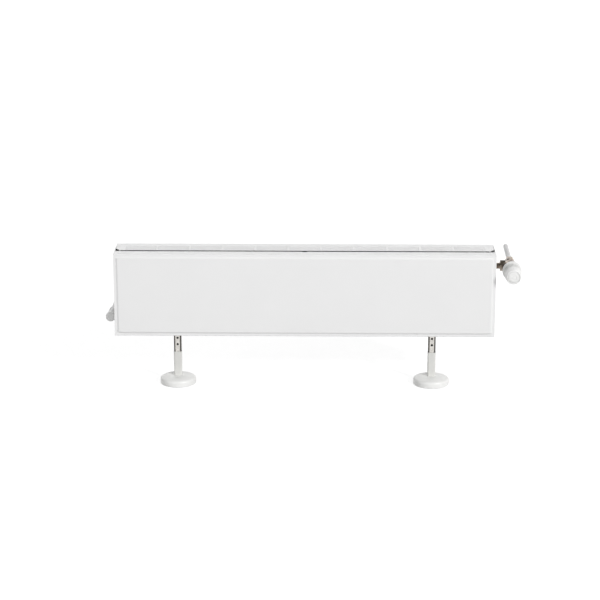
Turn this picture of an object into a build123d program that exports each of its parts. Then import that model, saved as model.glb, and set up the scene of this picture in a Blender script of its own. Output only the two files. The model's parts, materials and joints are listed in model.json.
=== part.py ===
from build123d import *

import os
from math import sqrt

# A low hot-water panel radiator on two floor feet, in millimetres.
# +X runs along the radiator to the right, the front faces -Y, and +Z is up.
# The origin is on the floor, midway between the feet and midway through the radiator.

# ---------------------------------------------------------------- driving sizes
radiator_length = 900.0
radiator_height = 200.0
radiator_depth = 105.0
floor_clearance = 133.0
foot_inset = 145.0

# front plate: one folded sheet with a raised field
plate_sheet = 1.0
field_rise = 2.2
field_inset = 5.0
field_draft = 62.0
field_corner = 5.0
top_return = 31.0
bottom_return = 14.0
fold_radius = 1.6
clip_notch_width = 11.0
clip_notch_depth = 3.5
clip_notch_drop = 4.0

# water panels: two pressed sheets seamed together
panel_sheet = 1.2
panel_rise = 7.6
panel_skin_gap = 0.3
panel_end_gap = 10.0
panel_foot_gap = 4.0
panel_cap_gap = 0.2
seam_margin = 8.0
header_height = 34.0
channel_pitch = 100.0 / 3.0
channel_valley = 11.0
press_draft = 30.0

# convectors: one folded strip on each panel
convector_sheet = 0.5
convector_end_gap = 50.0
convector_bottom = 24.0
convector_top_gap = 30.0
convector_back_gap = 0.5
convector_foot = 20.0

# top rail over the rear panel
rail_sheet = 1.0
rail_depth = 24.0

# lift-off grille between the front plate's return and the rail
grille_sheet = 0.8
grille_sink = 0.2
grille_lip = 9.0
grille_end_gap = 11.0
grille_side_gap = 0.5
grille_slit = 9.5
grille_tongue = 12.0
grille_ledge = 3.0
grille_slot_length = 74.0
grille_slot_width = 4.0
grille_slot_rows = 5
grille_slot_pitch_x = 78.0
grille_slot_pitch_y = 7.5

# side panels
side_sheet = 1.2
side_flange = 9.0
side_fit = 0.3
port_cutout_radius = 15.5

# water ports
port_inset = 38.0
port_socket_radius = 13.0
port_socket_back = 6.0
port_socket_length = 17.0
port_thread_radius = 9.5
tee_axis_back = 25.0
tee_radius = 12.0
tee_bore_radius = 8.5
thread_fit = 0.1

# feet
column_width = 18.0
column_depth = 12.0
column_sheet = 1.2
column_corner = 3.0
bar_width = 11.0
bar_sheet = 2.0
bar_set_back = 0.5
bar_foot = 60.0
bar_hole_radius = 2.8
bar_hole_pitch = 15.8
bar_hole_count = 2
bar_first_hole = 18.8
base_thickness = 4.0
base_edge = 0.8
floor_hole_radius = 4.5
floor_hole_spacing = 52.0
saddle_sheet = 2.5
saddle_width = 30.0
saddle_hook_height = 4.0
saddle_hook_gap = 0.5
foot_bolt_radius = 3.0
foot_bolt_drop = 6.0
foot_bolt_head = 10.0
foot_bolt_head_height = 4.0
foot_nut_height = 5.0
foot_bolt_spare = 1.5
bolt_fit = 0.25

# sleeve and rose over each foot
sleeve_wall = 0.5
sleeve_gap = 0.15
sleeve_top = 80.0
rose_radius = 43.2
rose_height = 20.0
rose_brim = 10.0
rose_edge = 7.0
rose_edge_turn = 70.0
rose_crown_radius = 20.0
rose_foot_edge = 1.5
rose_wall = 2.5
rose_shoulder_wall = 1.6
rose_base_gap = 2.7
rose_sleeve_gap = 0.3

# supply valve, head and pipe, along one axis that leans a little
valve_offset = 38.2
valve_tilt = 4.5
pipe_radius = 6.0
pipe_wall = 1.0
pipe_coat = 0.2
pipe_coat_gap = 1.0
supply_pipe_end = 143.0
union_nut_flats = 24.0
union_nut_width = 12.0
union_nut_start = 12.6
union_nut_lip = 2.0
tail_radius = 7.1
tail_bore = 5.6
valve_radius = 10.5
valve_boss_radius = 9.3
valve_front = 20.0
valve_rear = 24.0
valve_bonnet_radius = 13.6
valve_bonnet_start = 12.0
valve_bonnet_slope = 3.0
valve_chamber_front = 10.0
valve_disc_radius = 5.0
valve_disc_thickness = 2.4
compression_nut_flats = 21.0
compression_nut_start = 19.5
compression_nut_width = 16.0
pipe_insert = 14.0
nut_chamfer = 1.2
pin_radius = 2.0
pin_fit = 0.05
pin_travel = 2.4
pin_front = 31.5
insert_radius = 8.0
insert_front = 26.0
head_collar_radius = 17.0
head_collar_start = 18.5
head_collar_end = 30.0
head_collar_chamfer = 2.0
head_base_radius = 22.3
head_base_start = 30.3
head_base_end = 39.0
head_base_rim = 1.5
head_gap = 0.4
head_back_radius = 22.0
head_front_radius = 17.2
head_shoulder_radius = 17.8
head_face = 83.4
head_edge = 2.0
head_edge_step = 0.6
head_wall = 1.8
head_cap_radius = 14.2
head_cap_depth = 3.0
head_cap_fit = 0.1
head_cap_edge = 1.0
head_cap_sink = 0.3
head_dish_radius = 6.0
head_dish_depth = 0.6
head_grip_count = 20
head_grip_depth = 1.1
head_grip_width = 2.6
head_grip_start = 4.0
head_grip_length = 18.0
head_hub_gap = 0.3
sensor_radius = 12.0
sensor_start = 33.0
sensor_length = 30.0
sensor_nose = 3.6
sensor_body_radius = 9.6
sensor_neck_radius = 6.6
sensor_neck_start = 4.0
sensor_neck_end = 6.0
pointer_size = 2.4

# return valve and pipe
return_offset = 12.6
return_cap_radius = 12.2
return_cap_back_radius = 11.2
return_cap_front = 26.5
return_cap_back = 9.0
return_cap_nose = 7.0
return_cap_wall = 4.8
return_radius = 9.4
return_front = 12.5
return_neck_radius = 8.6
return_neck_start = 8.0
return_seat_radius = 8.0
return_port_start = 5.4
return_pipe_start = 9.5
return_channel_radius = 4.6
return_rear = 20.0
return_nut_flats = 18.0
return_nut_start = 17.5
return_nut_width = 16.0
return_pipe_end = 137.0
nipple_radius = 7.0
spindle_radius = 4.0
spindle_length = 9.0
spindle_stand = 1.5
spindle_key = 4.0
spindle_key_depth = 3.5
spindle_fit = 0.05

# plugs in the two unused ports
plug_flats = 22.0
plug_head = 4.0
plug_thread_length = 12.0
vent_boss_radius = 6.0
vent_boss_length = 5.0
vent_screw_radius = 3.0
vent_screw_key = 4.0
vent_screw_length = 10.0
vent_fit = 0.05
plug_key = 10.0
plug_key_depth = 3.0

# ---------------------------------------------------------------- worked out
half_length = radiator_length / 2
half_depth = radiator_depth / 2
bottom = floor_clearance
top = floor_clearance + radiator_height
middle = floor_clearance + radiator_height / 2
border_front = -half_depth + field_rise
border_back = border_front + plate_sheet
crest = half_depth - plate_sheet - panel_skin_gap
seam = crest - panel_rise
inner_crest = seam - panel_rise
panel_length = radiator_length - 2 * panel_end_gap
panel_bottom = bottom + panel_foot_gap
panel_top = top - plate_sheet - panel_cap_gap
panel_height = panel_top - panel_bottom
panel_middle = (panel_top + panel_bottom) / 2
inside_length = radiator_length - 2 * side_sheet
return_edge = -half_depth + top_return
rail_front = half_depth - rail_depth
grille_top = top - grille_sink
grille_seat = grille_top - grille_lip
port_high = top - port_inset
port_low = bottom + port_inset
socket_end = half_length - port_socket_back
saddle_top = panel_bottom
saddle_bottom = saddle_top - saddle_sheet
foot_places = {"left": foot_inset - half_length, "right": half_length - foot_inset}
column_web = column_depth / 2 - column_sheet
bar_front = bar_set_back - column_depth / 2
base_radius = rose_radius - rose_wall - rose_base_gap
sleeve_width = column_width + 2 * (sleeve_gap + sleeve_wall)
sleeve_depth = column_depth + 2 * (sleeve_gap + sleeve_wall)
sleeve_corner = column_corner + sleeve_gap + sleeve_wall
valve_place = Location((half_length + valve_offset, 0, port_high), (valve_tilt, 0, 0))
return_place = Location((-half_length - return_offset, 0, port_low))


# ---------------------------------------------------------------- shared shapes
def block(x_span, y_span, z_span):
    """A box between two limits on each axis."""
    size = [high - low for low, high in (x_span, y_span, z_span)]
    centre = [(high + low) / 2 for low, high in (x_span, y_span, z_span)]
    return Pos(*centre) * Box(*size)


def turned(*profile):
    """A solid turned about the Y axis from (radius, station) points."""
    return revolve(make_face(Polyline(*profile, close=True)), Axis.Y)


def along_y(radius, start, end):
    """A round bar on the Y axis."""
    return Pos(0, (start + end) / 2, 0) * Rot(90, 0, 0) * Cylinder(radius, end - start)


def along_x(radius, start, end):
    """A round bar on the X axis."""
    return Pos((start + end) / 2, 0, 0) * Rot(0, 90, 0) * Cylinder(radius, end - start)


def hex_bar(flats, length):
    """A hexagonal bar on the Z axis from Z = 0, with a flat towards +Y, both ends chamfered."""
    corner_radius = flats / sqrt(3)
    bar = extrude(RegularPolygon(corner_radius, 6), length)
    ends = revolve(
        Plane.XZ * make_face(Polyline(
            (0, 0), (corner_radius - nut_chamfer, 0), (corner_radius, nut_chamfer / 2),
            (corner_radius, length - nut_chamfer / 2), (corner_radius - nut_chamfer, length),
            (0, length), close=True)),
        Axis.Z)
    return bar & ends


def hex_along_y(flats, start, end):
    return Pos(0, start, 0) * Rot(-90, 0, 0) * hex_bar(flats, end - start)


def hex_along_x(flats, start, end):
    return Pos(start, 0, 0) * Rot(0, 90, 0) * hex_bar(flats, end - start)


# ---------------------------------------------------------------- front plate
def front_plate():
    """Face with a raised field, folded back at the top and the bottom, with a ledge for the grille."""
    skin = block((-half_length, half_length), (border_front, return_edge), (bottom, top))
    skin = fillet(skin.edges().filter_by(Axis.X).group_by(Axis.Y)[0], fold_radius)
    inside = block((-half_length, half_length), (border_back, return_edge),
                   (bottom + plate_sheet, top - plate_sheet))
    inside = fillet(inside.edges().filter_by(Axis.X).group_by(Axis.Y)[0], fold_radius - plate_sheet)
    plate = skin - inside
    plate -= block((-half_length, half_length), (border_front + bottom_return, return_edge),
                   (bottom, middle))
    for side in (-1, 1):
        ends = sorted((side * inside_length / 2, side * half_length))
        plate -= block(ends, (border_back, return_edge), (bottom, top))
    plate += field(0) - field(plate_sheet)
    plate -= field(plate_sheet) & block((-half_length, half_length), (border_front, border_back),
                                        (bottom, top))
    half = inside_length / 2 - side_fit
    plate += block((-half, half), (return_edge - plate_sheet, return_edge),
                   (grille_seat - plate_sheet, top))
    plate += block((-half, half), (return_edge, return_edge + grille_ledge),
                   (grille_seat - plate_sheet, grille_seat))
    notch = block((-clip_notch_width / 2, clip_notch_width / 2),
                  (return_edge - clip_notch_depth, return_edge), (top - clip_notch_drop, top))
    return plate - notch


def field(inset):
    """The raised field's form, set back and drawn in by a sheet thickness for its inside."""
    depth = field_rise + plate_sheet
    base = Plane((0, border_back + inset, middle), x_dir=(1, 0, 0), z_dir=(0, -1, 0))
    outline = RectangleRounded(radiator_length - 2 * (field_inset + inset - plate_sheet),
                               radiator_height - 2 * (field_inset + inset - plate_sheet),
                               field_corner)
    return extrude(base * outline, depth, taper=field_draft)


# ---------------------------------------------------------------- water panels
def pressed_sheet(seam_y, direction, openings):
    """One half of a water panel: headers top and bottom, joined by upright channels."""
    base = Plane((0, seam_y, panel_middle), x_dir=(1, 0, 0), z_dir=(0, direction, 0))
    sheet = extrude(base * Rectangle(panel_length, panel_height), panel_sheet)
    sheet += pressing(base, 0, panel_rise)
    sheet -= pressing(base, panel_sheet, panel_rise - panel_sheet)
    for x, z in openings:
        drill = Pos(x, 0, z) * along_y(tee_bore_radius, min(seam_y, seam_y + direction * panel_rise) - 1,
                                       max(seam_y, seam_y + direction * panel_rise) + 1)
        sheet -= drill
    return sheet


def pressing(base, wall, rise):
    """The raised form, drawn in by a wall thickness for its inside."""
    length = panel_length - 2 * (seam_margin + wall)
    height = panel_height - 2 * (seam_margin + wall)
    form = extrude(base * Rectangle(length, height), rise, taper=press_draft)
    channels = int((panel_length - 2 * seam_margin) / channel_pitch)
    valley_height = panel_height - 2 * (seam_margin + header_height) + 2 * wall
    valley = extrude(Rectangle(channel_valley + 2 * wall, valley_height), rise, taper=-press_draft)
    valleys = [base.location * Pos((i - channels / 2) * channel_pitch, 0, 0) * valley
               for i in range(1, channels)]
    return form - valleys


def tee_openings():
    """Where the tees open into the panels, as (x, z)."""
    x = half_length - tee_axis_back
    return [(side * x, z) for side in (-1, 1) for z in (port_low, port_high)]


# ---------------------------------------------------------------- convectors
def convector(direction):
    """A strip folded to and fro between a panel's channels and the middle of the radiator."""
    span = inner_crest - convector_back_gap
    wave = convector_sheet
    count = int((radiator_length - 2 * convector_end_gap) / channel_pitch)
    start = -count * channel_pitch / 2
    outer = []
    for i in range(count):
        x = start + i * channel_pitch
        gap = (channel_pitch - convector_foot) / 2
        outer += [(x, 0), (x + gap, 0), (x + gap, span), (x + gap + convector_foot, span),
                  (x + gap + convector_foot, 0)]
    outer.append((start + count * channel_pitch, 0))
    centre_line = Polyline(*[(x, y + wave / 2 if y == 0 else y - wave / 2) for x, y in outer])
    strip = make_face(offset(centre_line, wave / 2, kind=Kind.INTERSECTION, side=Side.BOTH))
    height = grille_seat - convector_top_gap - (bottom + convector_bottom)
    solid = extrude(strip, height)
    if direction < 0:
        solid = mirror(solid, Plane.XZ)
    return Pos(0, direction * convector_back_gap, bottom + convector_bottom) * solid


# ---------------------------------------------------------------- cover parts
def rear_top_rail():
    """A cap folded over the rear panel's top edge, with a ledge for the grille."""
    half = inside_length / 2 - side_fit
    low = grille_seat - rail_sheet
    rail = block((-half, half), (rail_front, half_depth), (low, top))
    rail -= block((-half, half), (rail_front + rail_sheet, half_depth - rail_sheet),
                  (low, top - rail_sheet))
    return rail + block((-half, half), (rail_front - grille_ledge, rail_front), (low, grille_seat))


def top_grille():
    """A slotted cover with lips that stand on the two ledges, cut back along the front for a slit."""
    half = half_length - grille_end_gap
    front = return_edge + grille_side_gap
    rear = rail_front - grille_side_gap
    grille = block((-half, half), (front, rear), (grille_seat, grille_top))
    grille -= block((-half, half), (front + grille_sheet, rear - grille_sheet),
                    (grille_seat, grille_top - grille_sheet))
    grille -= block((grille_tongue - half, half - grille_tongue), (front, front + grille_slit),
                    (grille_seat, grille_top))
    columns = int((2 * half - grille_slot_pitch_x + grille_slot_length) / grille_slot_pitch_x)
    slot = extrude(Rectangle(grille_slot_length, grille_slot_width), 2 * grille_sheet)
    middle_line = (front + grille_slit + rear) / 2
    slots = [place * slot for place in GridLocations(grille_slot_pitch_x, grille_slot_pitch_y,
                                                     columns, grille_slot_rows)]
    return grille - [Pos(0, middle_line, grille_top - 1.5 * grille_sheet) * one for one in slots]


def side_panel(side):
    """An end cover with flanges front and rear, and round cut-outs at the ports."""
    outer = half_length
    panel = block((outer - side_flange - side_sheet, outer), (border_back, half_depth),
                  (bottom, top))
    panel -= block((outer - side_flange - side_sheet, outer - side_sheet),
                   (border_back + side_sheet, half_depth - side_sheet), (bottom, top))
    panel -= block((outer - side_flange - side_sheet, outer - side_sheet),
                   (border_back, return_edge), (top - fold_radius, top))
    panel -= block((outer - side_flange - side_sheet, outer - side_sheet),
                   (border_back, return_edge), (bottom, bottom + fold_radius))
    panel -= block((outer - side_flange - side_sheet, outer - side_sheet),
                   (rail_front - side_fit, half_depth), (grille_seat - rail_sheet - side_fit, top))
    for height in (port_low, port_high):
        panel -= Pos(0, 0, height) * along_x(port_cutout_radius, outer - 2 * side_sheet,
                                             outer + side_sheet)
    if side < 0:
        panel = mirror(panel, Plane.YZ)
    return panel


# ---------------------------------------------------------------- water ports
def port_tee(side, height):
    """A pipe between the two panels with a threaded socket towards the side."""
    x = half_length - tee_axis_back
    tee = Pos(x, 0, 0) * along_y(tee_radius, -inner_crest, inner_crest)
    tee += along_x(port_socket_radius, x, socket_end)
    tee -= Pos(x, 0, 0) * along_y(tee_bore_radius, -inner_crest, inner_crest)
    tee -= along_x(port_thread_radius, socket_end - port_socket_length, socket_end)
    if side < 0:
        tee = mirror(tee, Plane.YZ)
    return Pos(0, 0, height) * tee


def vent_plug():
    """The upper left port's plug, which holds the air vent screw."""
    return Pos(0, 0, port_high) * mirror(plug_blank() + along_x(
        vent_boss_radius, socket_end + plug_head, socket_end + plug_head + vent_boss_length)
        - along_x(vent_screw_radius + vent_fit, socket_end - plug_thread_length,
                  socket_end + plug_head + vent_boss_length), Plane.YZ)


def vent_screw():
    """A screw with a square end for a vent key."""
    mouth = socket_end + plug_head + vent_boss_length
    screw = along_x(vent_screw_radius, mouth - vent_screw_length, mouth - vent_screw_key)
    screw += block((mouth - vent_screw_key, mouth), (-vent_screw_key / 2, vent_screw_key / 2),
                   (-vent_screw_key / 2, vent_screw_key / 2))
    return Pos(0, 0, port_high) * mirror(screw, Plane.YZ)


def blanking_plug():
    """The lower right port's plug, with a hexagon recess."""
    recess = hex_along_x(plug_key, socket_end + plug_head - plug_key_depth, socket_end + 2 * plug_head)
    return Pos(0, 0, port_low) * (plug_blank() - recess)


def plug_blank():
    """A hexagon head over a threaded shank, on the X axis of the right-hand ports."""
    head = hex_along_x(plug_flats, socket_end, socket_end + plug_head)
    shank = along_x(port_thread_radius - thread_fit, socket_end - plug_thread_length, socket_end)
    return head + shank


# ---------------------------------------------------------------- feet
def base_plate(x):
    """A round plate with two floor bolt holes."""
    plate = Cylinder(base_radius, base_thickness, align=(Align.CENTER, Align.CENTER, Align.MIN))
    plate = chamfer(plate.edges().group_by(Axis.Z)[-1], base_edge)
    for place in GridLocations(0, floor_hole_spacing, 1, 2):
        plate -= place * Cylinder(floor_hole_radius, 3 * base_thickness)
    return Pos(x, 0, 0) * plate


def column(x):
    """A channel that stands on the base plate, open to the front."""
    height = (base_thickness, saddle_bottom)
    inside = column_width / 2 - column_sheet
    channel = Pos(0, 0, base_thickness) * extrude(
        RectangleRounded(column_width, column_depth, column_corner), saddle_bottom - base_thickness)
    channel -= block((-inside, inside), (-column_depth / 2, column_web), height)
    return Pos(x, 0, 0) * (channel - foot_bolt_hole())


def foot_bolt_hole():
    """The hole through bar and column."""
    return Pos(0, 0, bottom - foot_bolt_drop) * along_y(foot_bolt_radius + bolt_fit, -column_depth,
                                                        column_depth)


def saddle(x):
    """A strip under both panels, hooked round their seams, with a perforated bar in the column."""
    half = saddle_width / 2
    hook_inside = seam + panel_sheet + saddle_hook_gap
    hook_outside = hook_inside + saddle_sheet
    strip = block((-half, half), (-hook_outside, hook_outside), (saddle_bottom, saddle_top))
    for side in (-1, 1):
        strip += block((-half, half), sorted((side * hook_inside, side * hook_outside)),
                       (saddle_bottom, saddle_top + saddle_hook_height))
    inside = bar_width / 2 - bar_sheet
    height = (bar_foot, saddle_bottom)
    bar = block((-bar_width / 2, bar_width / 2), (bar_front, column_web), height)
    bar -= block((-inside, inside), (bar_front + bar_sheet, column_web), height)
    for i in range(bar_hole_count):
        bar -= Pos(0, 0, bottom - bar_first_hole - i * bar_hole_pitch) * along_y(
            bar_hole_radius, bar_front, bar_front + bar_sheet)
    return Pos(x, 0, 0) * (strip + bar - foot_bolt_hole())


def foot_bolts():
    """The bolts that hold each saddle's bar to its column."""
    tip = column_depth / 2 + foot_nut_height + foot_bolt_spare
    bolt = hex_along_y(foot_bolt_head, bar_front - foot_bolt_head_height, bar_front)
    bolt += along_y(foot_bolt_radius, bar_front, tip)
    return Compound(children=[Pos(x, 0, bottom - foot_bolt_drop) * bolt
                              for x in foot_places.values()])


def foot_nuts():
    """The nuts behind the columns."""
    back = column_depth / 2
    nut = hex_along_y(foot_bolt_head, back, back + foot_nut_height)
    nut -= along_y(foot_bolt_radius + thread_fit, back, back + foot_nut_height)
    return Compound(children=[Pos(x, 0, bottom - foot_bolt_drop) * nut
                              for x in foot_places.values()])


def sleeve(x):
    """A thin cover tube round the lower part of the column."""
    height = sleeve_top - base_thickness
    outside = extrude(RectangleRounded(sleeve_width, sleeve_depth, sleeve_corner), height)
    inside = extrude(RectangleRounded(sleeve_width - 2 * sleeve_wall, sleeve_depth - 2 * sleeve_wall,
                                      sleeve_corner - sleeve_wall), height)
    return Pos(x, 0, base_thickness) * (outside - inside)


def rose(x):
    """A domed floor cover with an opening for the sleeve."""
    edge = CenterArc((rose_radius - rose_edge, rose_brim), rose_edge, 0, rose_edge_turn)
    crown = TangentArc(edge @ 1, (rose_crown_radius, rose_height), tangent=edge % 1)
    rest = Polyline(crown @ 1, (0, rose_height), (0, 0), (rose_radius - rose_foot_edge, 0),
                    (rose_radius, rose_foot_edge), edge @ 0)
    dome = revolve(Plane.XZ * make_face((edge + crown + rest).edges()), Axis.Z)
    shoulder = edge @ 1
    hollow = revolve(Plane.XZ * make_face(Polyline(
        (0, 0), (rose_radius - rose_wall, 0), (rose_radius - rose_wall, rose_brim),
        (shoulder.X - rose_wall, shoulder.Y - rose_shoulder_wall),
        (rose_crown_radius, rose_height - rose_wall), (0, rose_height - rose_wall),
        close=True)), Axis.Z)
    opening = extrude(RectangleRounded(sleeve_width + 2 * rose_sleeve_gap,
                                       sleeve_depth + 2 * rose_sleeve_gap,
                                       sleeve_corner + rose_sleeve_gap), rose_height)
    return Pos(x, 0, 0) * (dome - hollow - opening)


# ---------------------------------------------------------------- supply valve
# Each piece is built about the valve's own axis: Y backwards along the pipe, the port towards -X.
def valve_tail():
    """The tube from the port's thread to the union's seat."""
    start = socket_end - port_socket_length + thread_fit - half_length - valve_offset
    thread_end = socket_end - half_length - valve_offset
    seat = -valve_offset + union_nut_start + union_nut_width / 2
    tail = along_x(port_thread_radius - thread_fit, start, thread_end)
    tail += along_x(tail_radius, thread_end, seat)
    tail += along_x(valve_boss_radius - 2 * thread_fit, seat - 2 * nut_chamfer, seat)
    return tail - along_x(tail_bore, start, seat)


def valve_union_nut():
    """The hexagon nut that draws the tail to the valve body."""
    start = -valve_offset + union_nut_start
    end = start + union_nut_width
    nut = hex_along_x(union_nut_flats, start, end)
    nut -= along_x(tail_radius + thread_fit, start, end)
    return nut - along_x(valve_boss_radius + thread_fit, start + union_nut_lip, end)


def valve_body():
    """The axial body: bonnet to the front, pipe thread to the rear, port to the side."""
    seat = -valve_offset + union_nut_start + union_nut_width / 2 + thread_fit
    body = turned((0, -valve_front), (valve_bonnet_radius, -valve_front),
                  (valve_bonnet_radius, -valve_bonnet_start),
                  (valve_radius, -valve_bonnet_start + valve_bonnet_slope),
                  (valve_radius, compression_nut_start - thread_fit),
                  (valve_boss_radius, compression_nut_start - thread_fit),
                  (valve_boss_radius, valve_rear), (0, valve_rear))
    body += along_x(valve_boss_radius, seat, 0)
    body -= along_x(tail_bore, seat, 0)
    body -= along_y(pipe_radius + thread_fit, pipe_insert, valve_rear)
    body -= along_y(tail_bore, -valve_chamber_front, pipe_insert)
    return body - along_y(insert_radius + thread_fit, -valve_front, -valve_chamber_front)


def valve_insert():
    """The gland that guides the pin."""
    gland = along_y(insert_radius, -insert_front, -valve_chamber_front)
    return gland - along_y(pin_radius + pin_fit, -insert_front, -valve_chamber_front)


def valve_pin():
    """The pin that the head presses in, with its valve disc."""
    disc_face = -valve_chamber_front + pin_travel
    pin = along_y(pin_radius, -pin_front, disc_face)
    return pin + along_y(valve_disc_radius, disc_face, disc_face + valve_disc_thickness)


def valve_compression_nut():
    """The nut that seals the pipe."""
    end = compression_nut_start + compression_nut_width
    nut = hex_along_y(compression_nut_flats, compression_nut_start, end)
    nut -= along_y(pipe_radius + thread_fit, compression_nut_start, end)
    return nut - along_y(valve_boss_radius + thread_fit, compression_nut_start,
                         valve_rear + thread_fit)


def pipe(start, end, nut_end):
    """A straight coated pipe on the valve's axis, with its coat cut back where it enters the nut."""
    tube = along_y(pipe_radius - pipe_coat, start, end)
    tube += along_y(pipe_radius, nut_end + pipe_coat_gap, end)
    return tube - along_y(pipe_radius - pipe_wall, start, end)


def head_collar():
    """The ring nut that holds the head on the bonnet."""
    ring = turned((0, -head_collar_end), (head_collar_radius, -head_collar_end),
                  (head_collar_radius, -head_collar_start - head_collar_chamfer),
                  (head_collar_radius - head_collar_chamfer, -head_collar_start),
                  (0, -head_collar_start))
    ring -= along_y(insert_radius + head_gap, -head_collar_end, -head_collar_start)
    return ring - along_y(valve_bonnet_radius + thread_fit, -valve_front - thread_fit,
                          -head_collar_start)


def head_base():
    """The fixed ring with the setting mark."""
    base = turned((0, -head_base_end), (head_base_radius, -head_base_end),
                  (head_base_radius, -head_base_start - head_base_rim),
                  (head_base_radius - head_base_rim, -head_base_start), (0, -head_base_start))
    mark = Pos(0, -head_base_end + pointer_size, head_base_radius) * Box(
        pointer_size, pointer_size, pointer_size / 2)
    base += mark
    return base - along_y(sensor_radius + head_hub_gap, -head_base_end, -head_base_start)


def head_dial():
    """The tapered grip that is turned, hollow, with a recess in its face."""
    back = -head_base_end - head_gap
    shoulder = -head_face + 2 * head_edge
    hollow_inset = head_wall + head_grip_depth
    dial = turned((0, back), (head_back_radius, back), (head_shoulder_radius, shoulder),
                  (head_front_radius - head_edge_step, -head_face + head_edge_step),
                  (head_front_radius - head_edge, -head_face), (0, -head_face))
    dial -= turned((0, back), (head_back_radius - hollow_inset, back),
                   (head_shoulder_radius - hollow_inset, shoulder), (0, shoulder))
    dial -= along_y(head_cap_radius + head_cap_fit, -head_face, -head_face + head_cap_depth)
    grip_start = back - head_grip_start
    groove = Pos(0, grip_start - head_grip_length / 2, head_back_radius) * Box(
        head_grip_width, head_grip_length, 2 * head_grip_depth)
    return dial - [Rot(0, 360 / head_grip_count * i, 0) * groove for i in range(head_grip_count)]


def head_cap():
    """The disc let into the face of the dial."""
    back = -head_face + head_cap_depth - head_cap_fit
    front = -head_face + head_cap_sink
    return turned((0, back), (head_cap_radius, back), (head_cap_radius, front + head_cap_edge),
                  (head_cap_radius - head_cap_edge, front), (head_dish_radius, front),
                  (head_dish_radius - head_dish_depth, front + head_dish_depth),
                  (0, front + head_dish_depth))


def sensor():
    """The wax sensor inside the head, whose nose presses the pin."""
    back = -sensor_start
    return turned((0, back - sensor_length), (sensor_body_radius, back - sensor_length),
                  (sensor_body_radius, back - sensor_neck_end),
                  (sensor_neck_radius, back - sensor_neck_start),
                  (sensor_nose, back), (sensor_nose, -pin_front), (0, -pin_front))


# ---------------------------------------------------------------- return valve
# Built about its own axis: Y backwards along the pipe, the port towards +X.
def return_nipple():
    """The threaded nipple in the lower left port."""
    end = half_length + return_offset - socket_end + port_socket_length - thread_fit
    face = half_length + return_offset - socket_end
    start = return_port_start + thread_fit
    nipple = along_x(port_thread_radius - thread_fit, face, end)
    nipple += along_x(nipple_radius, start, face)
    return nipple - along_x(tail_bore, start, end)


def return_body():
    """The lockshield body, in line with its pipe."""
    seat = return_nut_start - thread_fit
    body = turned((0, -return_front), (return_neck_radius, -return_front),
                  (return_neck_radius, -return_neck_start), (return_radius, -return_neck_start),
                  (return_radius, seat), (return_seat_radius, seat),
                  (return_seat_radius, return_rear), (0, return_rear))
    body -= along_y(spindle_radius + spindle_fit, -return_front, -return_front + spindle_length)
    body -= along_y(return_channel_radius, -return_front + spindle_length, return_pipe_start)
    body -= along_y(pipe_radius + thread_fit, return_pipe_start, return_rear)
    return body - along_x(nipple_radius + thread_fit, return_port_start, 2 * return_radius)


def return_spindle():
    """The adjusting spindle under the cap, with a hexagon recess."""
    end = -return_front + spindle_length - thread_fit
    head = -return_front - spindle_stand
    spindle = along_y(spindle_radius, head, end)
    return spindle - hex_along_y(spindle_key, head - spindle_key_depth, head + spindle_key_depth)


def return_cap():
    """The round-nosed cap over the spindle."""
    front = -return_cap_front
    cap = turned((0, front), (return_cap_radius, front), (return_cap_back_radius, -return_cap_back),
                 (0, -return_cap_back))
    cap = fillet(cap.edges().group_by(Axis.Y)[0], return_cap_nose)
    return cap - along_y(return_neck_radius + thread_fit, front + return_cap_wall, -return_cap_back)


def return_compression_nut():
    """The nut that seals the return pipe."""
    end = return_nut_start + return_nut_width
    nut = hex_along_y(return_nut_flats, return_nut_start, end)
    nut -= along_y(pipe_radius + thread_fit, return_nut_start, end)
    return nut - along_y(return_seat_radius + thread_fit, return_nut_start,
                         return_rear + thread_fit)


# ---------------------------------------------------------------- the nodes
parts = {
    "front_plate": front_plate(),
    "front_panel_outer_sheet": pressed_sheet(-seam, -1, []),
    "front_panel_inner_sheet": pressed_sheet(-seam, 1, tee_openings()),
    "rear_panel_inner_sheet": pressed_sheet(seam, -1, tee_openings()),
    "rear_panel_outer_sheet": pressed_sheet(seam, 1, []),
    "front_convector": convector(-1),
    "rear_convector": convector(1),
    "rear_top_rail": rear_top_rail(),
    "top_grille": top_grille(),
    "left_side_panel": side_panel(-1),
    "right_side_panel": side_panel(1),
    "vent_plug": vent_plug(),
    "vent_screw": vent_screw(),
    "blanking_plug": blanking_plug(),
    "foot_bolts": foot_bolts(),
    "foot_nuts": foot_nuts(),
    "valve_tail": valve_place * valve_tail(),
    "valve_union_nut": valve_place * valve_union_nut(),
    "valve_body": valve_place * valve_body(),
    "valve_insert": valve_place * valve_insert(),
    "valve_pin": valve_place * valve_pin(),
    "valve_compression_nut": valve_place * valve_compression_nut(),
    "supply_pipe": valve_place * pipe(pipe_insert, supply_pipe_end,
                                      compression_nut_start + compression_nut_width),
    "head_collar": valve_place * head_collar(),
    "head_base": valve_place * head_base(),
    "head_dial": valve_place * head_dial(),
    "head_cap": valve_place * head_cap(),
    "head_sensor": valve_place * sensor(),
    "return_nipple": return_place * return_nipple(),
    "return_body": return_place * return_body(),
    "return_spindle": return_place * return_spindle(),
    "return_cap": return_place * return_cap(),
    "return_compression_nut": return_place * return_compression_nut(),
    "return_pipe": return_place * pipe(return_pipe_start, return_pipe_end,
                                       return_nut_start + return_nut_width),
    "upper_left_tee": port_tee(-1, port_high),
    "lower_left_tee": port_tee(-1, port_low),
    "upper_right_tee": port_tee(1, port_high),
    "lower_right_tee": port_tee(1, port_low),
}
for side_name, foot_x in foot_places.items():
    parts[f"{side_name}_base_plate"] = base_plate(foot_x)
    parts[f"{side_name}_column"] = column(foot_x)
    parts[f"{side_name}_saddle"] = saddle(foot_x)
    parts[f"{side_name}_sleeve"] = sleeve(foot_x)
    parts[f"{side_name}_rose"] = rose(foot_x)

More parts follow.
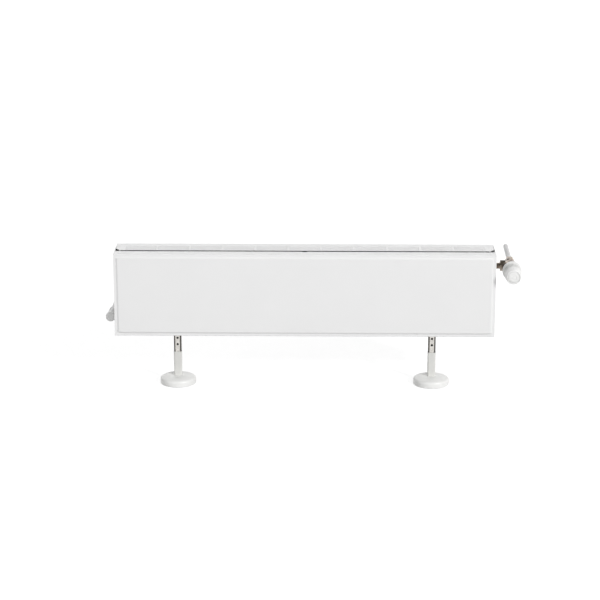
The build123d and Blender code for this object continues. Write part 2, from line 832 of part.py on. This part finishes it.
os.makedirs("parts", exist_ok=True)
for node, shape in parts.items():
    export_step(shape, f"parts/{node}.step")
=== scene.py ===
import json
import math

import bmesh
import bpy
from mathutils import Matrix, Vector

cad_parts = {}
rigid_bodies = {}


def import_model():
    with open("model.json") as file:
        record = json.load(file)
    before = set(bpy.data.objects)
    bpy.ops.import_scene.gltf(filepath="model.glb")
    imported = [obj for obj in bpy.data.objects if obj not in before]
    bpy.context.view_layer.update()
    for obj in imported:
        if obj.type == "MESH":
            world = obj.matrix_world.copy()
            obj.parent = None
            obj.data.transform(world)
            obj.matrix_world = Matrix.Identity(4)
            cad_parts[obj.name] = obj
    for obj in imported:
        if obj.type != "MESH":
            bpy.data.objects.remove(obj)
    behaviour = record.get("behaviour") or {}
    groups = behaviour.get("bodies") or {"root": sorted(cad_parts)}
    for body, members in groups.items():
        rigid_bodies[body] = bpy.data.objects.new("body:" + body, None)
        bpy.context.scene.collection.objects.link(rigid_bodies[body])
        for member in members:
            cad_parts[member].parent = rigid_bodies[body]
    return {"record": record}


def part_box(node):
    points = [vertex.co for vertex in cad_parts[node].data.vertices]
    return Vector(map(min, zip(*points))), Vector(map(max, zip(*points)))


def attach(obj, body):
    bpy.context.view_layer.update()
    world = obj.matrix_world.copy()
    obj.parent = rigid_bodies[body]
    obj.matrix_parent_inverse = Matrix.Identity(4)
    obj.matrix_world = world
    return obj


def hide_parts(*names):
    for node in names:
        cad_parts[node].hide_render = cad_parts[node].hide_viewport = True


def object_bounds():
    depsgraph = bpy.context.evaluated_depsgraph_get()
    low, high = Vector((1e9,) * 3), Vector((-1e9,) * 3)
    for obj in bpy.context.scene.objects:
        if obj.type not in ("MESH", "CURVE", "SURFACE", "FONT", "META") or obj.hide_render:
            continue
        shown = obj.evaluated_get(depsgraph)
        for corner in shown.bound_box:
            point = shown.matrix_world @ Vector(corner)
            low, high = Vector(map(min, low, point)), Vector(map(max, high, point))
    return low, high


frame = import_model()

# Looks for the low panel radiator. Places are in metres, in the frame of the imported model.
# Sizes of the pieces built here are in millimetres.
cad_low, cad_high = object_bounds()
millimetre = 0.001


# ---------------------------------------------------------------- node trees
# The range that holds most values of a noise or cell pattern.
pattern_low, pattern_high = 0.3, 0.7


def new_material(name, colour, roughness, metallic=0.0):
    """A principled material with its constant values set on the shader."""
    material = bpy.data.materials.new(name)
    material.use_nodes = True
    shader = material.node_tree.nodes["Principled BSDF"]
    shader.inputs["Base Color"].default_value = (*colour, 1)
    shader.inputs["Roughness"].default_value = roughness
    shader.inputs["Metallic"].default_value = metallic
    return material, material.node_tree, shader


def object_coordinates(tree, stretch=None):
    """Object coordinates, stretched along an axis where the pattern runs along it."""
    place = tree.nodes.new("ShaderNodeTexCoord").outputs["Object"]
    if stretch is None:
        return place
    mapping = tree.nodes.new("ShaderNodeMapping")
    mapping.inputs["Scale"].default_value = stretch
    tree.links.new(place, mapping.inputs["Vector"])
    return mapping.outputs["Vector"]


def noise(tree, place, scale, detail=2.0):
    """A noise pattern with about as many patches to the metre as its scale says."""
    node = tree.nodes.new("ShaderNodeTexNoise")
    node.inputs["Scale"].default_value = scale
    node.inputs["Detail"].default_value = detail
    tree.links.new(place, node.inputs["Vector"])
    return node.outputs["Fac"]


def spread(tree, value, low, high):
    """The pattern's middle part stretched over a range."""
    node = tree.nodes.new("ShaderNodeMapRange")
    node.inputs["From Min"].default_value = pattern_low
    node.inputs["From Max"].default_value = pattern_high
    node.inputs["To Min"].default_value = low
    node.inputs["To Max"].default_value = high
    tree.links.new(value, node.inputs["Value"])
    return node.outputs["Result"]


def shaded(colour, factor):
    """The colour made darker or lighter, up to full white."""
    return [min(part * factor, 1) for part in colour]


def colour_by(tree, shader, value, first, second):
    """Colours the shader from the first colour to the second, as the pattern says."""
    node = tree.nodes.new("ShaderNodeMix")
    node.data_type = "RGBA"
    tree.links.new(spread(tree, value, 0, 1), node.inputs["Factor"])
    node.inputs["A"].default_value = (*first, 1)
    node.inputs["B"].default_value = (*second, 1)
    tree.links.new(node.outputs["Result"], shader.inputs["Base Color"])


def roughness_by(tree, shader, value, low, high):
    """Varies the shader's roughness over a range, as the pattern says."""
    tree.links.new(spread(tree, value, low, high), shader.inputs["Roughness"])


def bump(tree, shader, height, depth, strength):
    """Fine relief from a pattern, with its depth in millimetres."""
    node = tree.nodes.new("ShaderNodeBump")
    node.inputs["Distance"].default_value = depth * millimetre
    node.inputs["Strength"].default_value = strength
    tree.links.new(height, node.inputs["Height"])
    tree.links.new(node.outputs["Normal"], shader.inputs["Normal"])


# ---------------------------------------------------------------- materials
def enamel(name, colour, roughness=0.33):
    """Baked white enamel: faint orange peel and slow changes of tone and gloss."""
    material, tree, shader = new_material(name, colour, roughness)
    shader.inputs["Coat Weight"].default_value = 0.12
    shader.inputs["Coat Roughness"].default_value = 0.18
    place = object_coordinates(tree)
    colour_by(tree, shader, noise(tree, place, scale=9.0, detail=3.0),
              shaded(colour, 0.988), shaded(colour, 1.005))
    roughness_by(tree, shader, noise(tree, place, scale=40.0),
                 roughness - 0.05, roughness + 0.06)
    bump(tree, shader, noise(tree, place, scale=650.0, detail=3.0), depth=0.05, strength=0.6)
    return material


def plastic(name, colour, roughness, grain):
    """Moulded plastic with a fine eroded grain."""
    material, tree, shader = new_material(name, colour, roughness)
    shader.inputs["Subsurface Weight"].default_value = 0.04
    shader.inputs["Subsurface Radius"].default_value = (0.002, 0.002, 0.002)
    place = object_coordinates(tree)
    colour_by(tree, shader, noise(tree, place, scale=30.0, detail=3.0),
              shaded(colour, 0.97), shaded(colour, 1.01))
    roughness_by(tree, shader, noise(tree, place, scale=120.0),
                 roughness - 0.03, roughness + 0.03)
    bump(tree, shader, noise(tree, place, scale=1800.0), depth=grain, strength=0.7)
    return material


def metal(name, colour, dull_and_painted_dark_colour, roughness, scratch, patches=60.0):
    """Plated or machined metal with patches of a second colour and fine marks along the X axis;
    the patches are dull tone, and on the nickel a painted dark reflection.
    """
    material, tree, shader = new_material(name, colour, roughness, metallic=1.0)
    place = object_coordinates(tree)
    colour_by(tree, shader, noise(tree, place, scale=patches, detail=4.0),
              colour, dull_and_painted_dark_colour)
    marks = noise(tree, object_coordinates(tree, stretch=(0.05, 1, 1)), scale=900.0, detail=3.0)
    roughness_by(tree, shader, marks, roughness - 0.07, roughness + 0.12)
    bump(tree, shader, marks, depth=scratch, strength=0.6)
    return material


def zinc_coat(name, colour, dull_and_painted_dark_colour):
    """Zinc with the soft crystal patches of hot dip plating, bright in its own colours and dark
    where its colours hold painted shade.
    """
    material, tree, shader = new_material(name, colour, roughness=0.36, metallic=1.0)
    place = object_coordinates(tree)
    cells = tree.nodes.new("ShaderNodeTexVoronoi")
    cells.inputs["Scale"].default_value = 260.0
    tree.links.new(place, cells.inputs["Vector"])
    colour_by(tree, shader, cells.outputs["Distance"], colour, dull_and_painted_dark_colour)
    roughness_by(tree, shader, noise(tree, place, scale=200.0, detail=4.0), 0.28, 0.46)
    bump(tree, shader, noise(tree, place, scale=500.0, detail=3.0), depth=0.03, strength=0.6)
    return material


# The finish of each material slot of the record, with painted shade or painted reflection in
# the inner steel, nickel and white pipe colours.
finishes = {
    "white_steel": enamel("white_enamel", (0.86, 0.86, 0.86)),
    # The insides are near black: painted shade where little light gets in between the panels.
    "inner_steel": enamel("inner_enamel_painted_shade", (0.10, 0.10, 0.10), roughness=0.5),
    "galvanised": zinc_coat("zinc_sheet", (0.71, 0.69, 0.65), (0.59, 0.57, 0.54)),
    "zinc_bolts": metal("zinc_fasteners", (0.72, 0.71, 0.68), (0.60, 0.60, 0.60),
                        roughness=0.33, scratch=0.01),
    "cover_plastic": plastic("cover_plastic", (0.90, 0.90, 0.885), roughness=0.36, grain=0.012),
    # The nickel is darkened and mottled with near-black patches: painted reflection of dark
    # surroundings.
    "nickel": metal("nickel_plate_painted_reflection", (0.46, 0.39, 0.32), (0.10, 0.075, 0.06),
                    roughness=0.20, scratch=0.006, patches=75.0),
    "bare_brass": metal("machined_brass", (0.76, 0.60, 0.36), (0.62, 0.47, 0.26),
                        roughness=0.30, scratch=0.008),
    "pin_steel": metal("stainless_steel", (0.66, 0.66, 0.66), (0.56, 0.56, 0.56),
                       roughness=0.25, scratch=0.004),
    # The white pipe is coloured grey: painted shade.
    "white_pipe": plastic("pipe_coat_painted_shade", (0.62, 0.62, 0.62), roughness=0.30, grain=0.006),
    "head_plastic": plastic("head_plastic", (0.90, 0.90, 0.89), roughness=0.42, grain=0.02),
    "sensor_metal": metal("sensor_shell", (0.72, 0.72, 0.73), (0.62, 0.62, 0.64),
                          roughness=0.3, scratch=0.004),
}
# The floors of the dial's ventilation openings.
vent_shade = plastic("vent_shade", (0.42, 0.44, 0.40), roughness=0.6, grain=0.02)

# Nodes painted darker than the finish that their slot names: painted shade on the feet columns
# and sleeves under the radiator.
painted_shade_zinc = zinc_coat("zinc_channel_painted_shade", (0.20, 0.19, 0.17), (0.11, 0.10, 0.09))
sleeve_plastic_painted_shade = plastic("sleeve_plastic_painted_shade", (0.72, 0.72, 0.695), roughness=0.40, grain=0.012)
painted_shade_nodes = {"left_column": painted_shade_zinc, "left_sleeve": sleeve_plastic_painted_shade,
                "right_column": painted_shade_zinc, "right_sleeve": sleeve_plastic_painted_shade}


def dress_nodes():
    """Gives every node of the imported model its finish."""
    for subpart in frame["record"]["subparts"]:
        node = bpy.data.objects[subpart["node"]]
        finish = painted_shade_nodes.get(subpart["node"], finishes[subpart["material_slot"]])
        node.data.materials.clear()
        node.data.materials.append(finish)


# ---------------------------------------------------------------- building with bmesh
# Edges that turn by more than this stay sharp, and vertices nearer than this are merged.
smooth_below = math.radians(35)
merge_within = 0.002


def flat_face(shape, points, height):
    """A level face through points of X and Y."""
    return shape.faces.new([shape.verts.new(Vector((x, y, height)) * millimetre)
                            for x, y in points])


def extrude_down(shape, depth):
    """Gives the level faces of a shape their depth below."""
    below = bmesh.ops.extrude_face_region(shape, geom=list(shape.faces))
    bmesh.ops.translate(shape, vec=(0, 0, -depth * millimetre),
                        verts=[part for part in below["geom"]
                               if isinstance(part, bmesh.types.BMVert)])
    bmesh.ops.recalc_face_normals(shape, faces=shape.faces)


def add_slab(shape, x_low, y_low, x_high, y_high, top, depth):
    """Adds a box to a shape that is otherwise finished."""
    slab = bmesh.new()
    flat_face(slab, ((x_low, y_low), (x_high, y_low), (x_high, y_high), (x_low, y_high)), top)
    extrude_down(slab, depth)
    carrier = bpy.data.meshes.new("slab")
    slab.to_mesh(carrier)
    slab.free()
    shape.from_mesh(carrier)
    bpy.data.meshes.remove(carrier)


def finished(shape, name, body, materials, edge=0.0):
    """Makes the piece from its bmesh and has it ride on its body."""
    mesh = bpy.data.meshes.new(name)
    shape.to_mesh(mesh)
    shape.free()
    for material in materials:
        mesh.materials.append(material)
    mesh.polygons.foreach_set("use_smooth", [True] * len(mesh.polygons))
    mesh.set_sharp_from_angle(angle=smooth_below)
    piece = bpy.data.objects.new(name, mesh)
    bpy.context.collection.objects.link(piece)
    if edge:
        rounding = piece.modifiers.new("rounding", "BEVEL")
        rounding.width = edge * millimetre
        rounding.segments = 2
        rounding.limit_method = "ANGLE"
        rounding.angle_limit = smooth_below
    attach(piece, body)
    return piece


# ---------------------------------------------------------------- grille
slot_columns, slot_rows = 11, 5
slot_length, slot_width = 74.0, 4.0
slot_pitch_x, slot_pitch_y = 78.0, 7.5
slot_middle_y = 8.25
slit_width = 11.6
tongue_length, tongue_overlap = 12.0, 1.0
grille_thickness, lip_depth = 0.8, 9.0
rim_thickness, rim_depth, rim_drop = 0.5, 0.9, 0.05
# The end tabs stop short of the side panels' outer faces, and their front corners are cut off.
tab_gap, tab_cut = 1.8, 15.0


def slot_places():
    """The middle of each slot."""
    return [((column - (slot_columns - 1) / 2) * slot_pitch_x,
             slot_middle_y + (row - (slot_rows - 1) / 2) * slot_pitch_y)
            for column in range(slot_columns) for row in range(slot_rows)]


def in_a_slot(x, y):
    """Whether a point of the grille lies in one of its slots."""
    return any(abs(x - slot_x) < slot_length / 2 and abs(y - slot_y) < slot_width / 2
               for slot_x, slot_y in slot_places())


def slotted_sheet(low, high, slit_rear):
    """The level sheet behind the slit, as a grid of faces that leaves out the slots."""
    across = sorted({low.x, high.x} | {x + side * slot_length / 2
                                       for x, y in slot_places() for side in (-1, 1)})
    along = sorted({slit_rear, high.y} | {y + side * slot_width / 2
                                          for x, y in slot_places() for side in (-1, 1)})
    sheet = bmesh.new()
    corners = [[sheet.verts.new(Vector((x, y, high.z)) * millimetre) for x in across]
               for y in along]
    for row in range(len(along) - 1):
        for column in range(len(across) - 1):
            if not in_a_slot((across[column] + across[column + 1]) / 2,
                             (along[row] + along[row + 1]) / 2):
                sheet.faces.new((corners[row][column], corners[row][column + 1],
                                 corners[row + 1][column + 1], corners[row + 1][column]))
    return sheet


def grille():
    """The lift-off grille: a slotted sheet with end tabs, lips and two tongues.

    The tongues rest on the front ledge at the ends of the slit.
    """
    low, high = (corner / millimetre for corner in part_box("top_grille"))
    tab_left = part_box("left_side_panel")[0].x / millimetre + tab_gap
    tab_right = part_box("right_side_panel")[1].x / millimetre - tab_gap
    slit_rear = low.y + slit_width
    sheet = slotted_sheet(low, high, slit_rear)
    for inner, outer in ((high.x, tab_right), (low.x, tab_left)):
        flat_face(sheet, ((inner, slit_rear), (outer, slit_rear + tab_cut),
                          (outer, high.y), (inner, high.y)), high.z)
    extrude_down(sheet, grille_thickness)

    under_sheet = high.z - grille_thickness
    hanging = lip_depth - grille_thickness
    add_slab(sheet, low.x, high.y - grille_thickness, high.x, high.y, under_sheet, hanging)
    add_slab(sheet, low.x, slit_rear, low.x + grille_thickness, high.y, under_sheet, hanging)
    add_slab(sheet, high.x - grille_thickness, slit_rear, high.x, high.y, under_sheet, hanging)
    tongue_rear, tongue_top = slit_rear + tongue_overlap, high.z - hanging
    add_slab(sheet, low.x, low.y, low.x + tongue_length, tongue_rear,
             tongue_top, grille_thickness)
    add_slab(sheet, high.x - tongue_length, low.y, high.x, tongue_rear,
             tongue_top, grille_thickness)
    piece = finished(sheet, "grille_sheet", "grille", [finishes["white_steel"]])
    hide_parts("top_grille")


def grille_rims():
    """The turned-down rims of the grille's slots."""
    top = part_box("top_grille")[1].z - rim_drop * millimetre
    rims = bmesh.new()
    # A grid of size 1 reaches 1 to each side of its middle.
    half_slot = Matrix.Diagonal((slot_length / 2 * millimetre, slot_width / 2 * millimetre,
                                 1, 1))
    for x, y in slot_places():
        place = Matrix.Translation((x * millimetre, y * millimetre, top))
        bmesh.ops.create_grid(rims, x_segments=1, y_segments=1, size=1,
                              matrix=place @ half_slot)
    openings = list(rims.faces)
    bmesh.ops.inset_individual(rims, faces=openings, thickness=rim_thickness * millimetre)
    bmesh.ops.delete(rims, geom=openings, context="FACES_ONLY")
    extrude_down(rims, rim_depth)
    finished(rims, "grille_slot_rims", "grille", [finishes["white_steel"]])


# ---------------------------------------------------------------- thermostatic head
# The head is built along -Y from the valve's own place, then turned onto the dial's axis.
# The dial's joint sits this far, in metres, along the axis.
joint_distance = 0.06
dial_joint = next(joint for joint in frame["record"]["behaviour"]["joints"]
                  if joint["name"] == "dial_turn")
head_axis = Vector(dial_joint["axis"])
head_place = (Matrix.Translation(Vector(dial_joint["pos_m"]) - joint_distance * head_axis)
              @ Vector((0, -1, 0)).rotation_difference(head_axis).to_matrix().to_4x4())
dial_segments = 80
dial_back, dial_shoulder, dial_face = -39.4, -79.4, -83.4
dial_back_radius, dial_shoulder_radius = 22.0, 17.8
dial_wall, dial_skin = 2.9, 0.5
dial_edge_rounding = 0.12
recess_radius, recess_floor, recess_sheet = 14.3, -80.4, 1.6
vent_rows = (-43.6, -49.2, -54.8, -60.4)
vent_rim, vent_depth = 0.22, 1.2
cap_radius, cap_front, cap_back = 13.2, -83.1, -80.5
number_place, number_height, number_relief = -70.0, 8.5, 0.5
number_count, number_at_pointer, number_turn = 6, 3, 48


def cone_radius(place):
    """The dial's outer radius at a place along its axis."""
    part = (place - dial_back) / (dial_shoulder - dial_back)
    return dial_back_radius + part * (dial_shoulder_radius - dial_back_radius)


# Profiles, as radius and place along the axis, from the inside round to the face.
dial_inside = [(0, recess_floor + recess_sheet),
               (dial_shoulder_radius - dial_wall, recess_floor + recess_sheet),
               (dial_back_radius - dial_wall, dial_back)]
dial_outside = [(dial_back_radius - 0.5, dial_back), (dial_back_radius - 0.05, dial_back - 0.5),
                *((cone_radius(place), place)
                  for place in (-42.8, *vent_rows, -61.2, -66.0, -72.0)),
                (dial_shoulder_radius, dial_shoulder)]
dial_front = [(17.5, -81.0), (16.9, -82.2), (16.0, -83.0), (15.15, dial_face),
              (14.9, dial_face), (14.5, -83.1), (recess_radius, -82.8),
              (recess_radius, recess_floor), (0, recess_floor)]
cap_profile = [(0, cap_back), (cap_radius, cap_back), (cap_radius, cap_front + 0.8),
               (12.9, cap_front + 0.3), (12.4, cap_front), (6.8, cap_front),
               (6.4, cap_front + 0.3), (6.2, cap_front + 1.0), (5.4, cap_front + 1.0),
               (5.2, cap_front + 0.3), (4.8, cap_front), (0, cap_front)]


def turned(profile):
    """A closed shape from a profile that is spun about the Y axis."""
    shape = bmesh.new()
    points = [shape.verts.new((radius * millimetre, place * millimetre, 0))
              for radius, place in profile]
    edges = [shape.edges.new(pair) for pair in zip(points, points[1:])]
    bmesh.ops.spin(shape, geom=points + edges, cent=(0, 0, 0), axis=(0, 1, 0),
                   angle=2 * math.pi, steps=dial_segments, use_merge=True)
    bmesh.ops.remove_doubles(shape, verts=shape.verts, dist=merge_within * millimetre)
    bmesh.ops.recalc_face_normals(shape, faces=shape.faces)
    return shape


def dial_vents(shape):
    """The faces of the dial's outer skin that become ventilation openings."""
    for side in shape.faces:
        centre = side.calc_center_median() / millimetre
        outside = math.hypot(centre.x, centre.z) > cone_radius(centre.y) - dial_skin
        segment = math.floor(math.atan2(centre.z, centre.x) / (2 * math.pi) * dial_segments)
        if outside and vent_rows[-1] < centre.y < vent_rows[0] and segment % 2 == 0:
            yield side


def dial():
    """The turning dial: a hollow cone with rows of vents and a recess for its face cap."""
    shape = turned(dial_inside + dial_outside + dial_front)
    vents = list(dial_vents(shape))
    bmesh.ops.inset_individual(shape, faces=vents, thickness=vent_rim * millimetre,
                               depth=-vent_depth * millimetre)
    for floor in vents:
        floor.material_index = 1
    shape.transform(head_place)
    piece = finished(shape, "dial_grip", "dial",
                     [finishes["head_plastic"], vent_shade], dial_edge_rounding)
    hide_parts("head_dial")


def dial_cap():
    """The cap in the dial's face, with a ring groove."""
    shape = turned(cap_profile)
    shape.transform(head_place)
    piece = finished(shape, "dial_face_cap", "dial", [finishes["head_plastic"]])
    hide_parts("head_cap")


def dial_numbers():
    """Raised numbers round the dial, with the middle one by the pointer at rest."""
    slope = math.atan2(dial_back_radius - dial_shoulder_radius, dial_back - dial_shoulder)
    on_the_cone = (Matrix.Translation((0, number_place * millimetre,
                                       cone_radius(number_place) * millimetre))
                   @ Matrix.Rotation(slope, 4, "X"))
    shape = bmesh.new()
    for number in range(number_count):
        text = bpy.data.curves.new("number", "FONT")
        text.body = str(number)
        text.size = number_height * millimetre
        text.extrude = number_relief * millimetre
        text.align_x = text.align_y = "CENTER"
        text.resolution_u = 4
        raised = bpy.data.objects.new("number", text)
        mesh = bpy.data.meshes.new_from_object(raised)
        turn = math.radians(number_turn * (number - number_at_pointer))
        mesh.transform(head_place @ Matrix.Rotation(turn, 4, "Y") @ on_the_cone)
        shape.from_mesh(mesh)
        bpy.data.objects.remove(raised)
        bpy.data.meshes.remove(mesh)
        bpy.data.curves.remove(text)
    bmesh.ops.remove_doubles(shape, verts=shape.verts, dist=merge_within * millimetre)
    finished(shape, "dial_numbers", "dial", [finishes["head_plastic"]])


# ---------------------------------------------------------------- stage, light and camera
# Sizes and places on the stage are in metres.
paper_size, paper_tone = 12.0, 0.45
backdrop_distance, backdrop_height = 3.0, 3.0
floor_glow, backdrop_glow = 0.8, 1.0
sky_level, sky_overhead = 0.62, 0.22
# Each lamp's name, place, width, power in watts, and whether metal mirrors it.
lamps = (("key", (9.9, -11.3, 7.5), 2.6, 1860, True),
         ("fill", (-9.0, -6.0, 3.0), 4.0, 190, True),
         ("rear", (-1.8, 2.8, 0.45), 1.6, 22, False))
camera_place = (0.0546, -4.3981, 1.4741)
camera_down, camera_left = math.radians(16.054), math.radians(0.858)
# As on a real camera, in millimetres.
camera_lens, camera_sensor = 115.08, 36.0


def seen_directly(tree):
    """1 for rays that come from the camera, a reflection or a view through glass."""
    path = tree.nodes.new("ShaderNodeLightPath")
    seen = path.outputs["Is Camera Ray"]
    for kind in ("Is Glossy Ray", "Is Transmission Ray"):
        either = tree.nodes.new("ShaderNodeMath")
        either.operation = "MAXIMUM"
        tree.links.new(seen, either.inputs[0])
        tree.links.new(path.outputs[kind], either.inputs[1])
        seen = either.outputs["Value"]
    return seen


def paper(name, place, turn, glow):
    """A large sheet of white paper that glows enough to look white and keeps soft shadows."""
    bpy.ops.mesh.primitive_plane_add(size=paper_size, location=place, rotation=turn)
    piece = bpy.context.object
    piece.name = name
    material, tree, shader = new_material(name + "_paper", [paper_tone] * 3, roughness=0.9)
    shader.inputs["Specular IOR Level"].default_value = 0.0
    white = tree.nodes.new("ShaderNodeEmission")
    white.inputs["Strength"].default_value = glow
    both = tree.nodes.new("ShaderNodeAddShader")
    tree.links.new(shader.outputs["BSDF"], both.inputs[0])
    tree.links.new(white.outputs["Emission"], both.inputs[1])
    mix = tree.nodes.new("ShaderNodeMixShader")
    tree.links.new(seen_directly(tree), mix.inputs["Fac"])
    tree.links.new(shader.outputs["BSDF"], mix.inputs[1])
    tree.links.new(both.outputs["Shader"], mix.inputs[2])
    tree.links.new(mix.outputs["Shader"], tree.nodes["Material Output"].inputs["Surface"])
    piece.data.materials.append(material)


def area_light(name, place, aim, size, power, mirrored):
    """A round lamp that points at its aim and that the camera doesn't see."""
    lamp = bpy.data.lights.new(name, "AREA")
    lamp.shape = "DISK"
    lamp.size = size
    lamp.energy = power
    light = bpy.data.objects.new(name, lamp)
    bpy.context.collection.objects.link(light)
    light.visible_camera = False
    light.visible_glossy = mirrored
    light.location = place
    light.rotation_euler = (aim - Vector(place)).to_track_quat("-Z", "Y").to_euler()


def sky():
    """An even white world that is dimmer overhead, as in a room with white walls."""
    world = bpy.data.worlds.new("world")
    world.use_nodes = True
    tree = world.node_tree
    split = tree.nodes.new("ShaderNodeSeparateXYZ")
    tree.links.new(tree.nodes.new("ShaderNodeTexCoord").outputs["Generated"],
                   split.inputs["Vector"])
    fade = tree.nodes.new("ShaderNodeMapRange")
    fade.inputs["To Min"].default_value = sky_level
    fade.inputs["To Max"].default_value = sky_overhead
    tree.links.new(split.outputs["Z"], fade.inputs["Value"])
    background = tree.nodes["Background"]
    background.inputs["Color"].default_value = (1, 1, 1, 1)
    tree.links.new(fade.outputs["Result"], background.inputs["Strength"])
    bpy.context.scene.world = world


def stage():
    """The floor, the backdrop, the lamps and the world."""
    paper("floor", (0, 0, cad_low.z), (0, 0, 0), floor_glow)
    paper("backdrop", (0, backdrop_distance, backdrop_height), (math.radians(90), 0, 0),
          backdrop_glow)
    middle = (cad_low + cad_high) / 2
    for name, place, size, power, mirrored in lamps:
        area_light(name, place, middle, size, power, mirrored)
    sky()
    bpy.context.scene.view_settings.view_transform = "Standard"


def camera():
    """The viewing angle: from the front, a little above the radiator."""
    data = bpy.data.cameras.new("camera")
    data.lens = camera_lens
    data.sensor_width = camera_sensor
    eye = bpy.data.objects.new("camera", data)
    bpy.context.collection.objects.link(eye)
    eye.location = camera_place
    eye.rotation_euler = (math.radians(90) - camera_down, 0, camera_left)
    bpy.context.scene.camera = eye


dress_nodes()
grille()
grille_rims()
dial()
dial_cap()
dial_numbers()
stage()
camera()
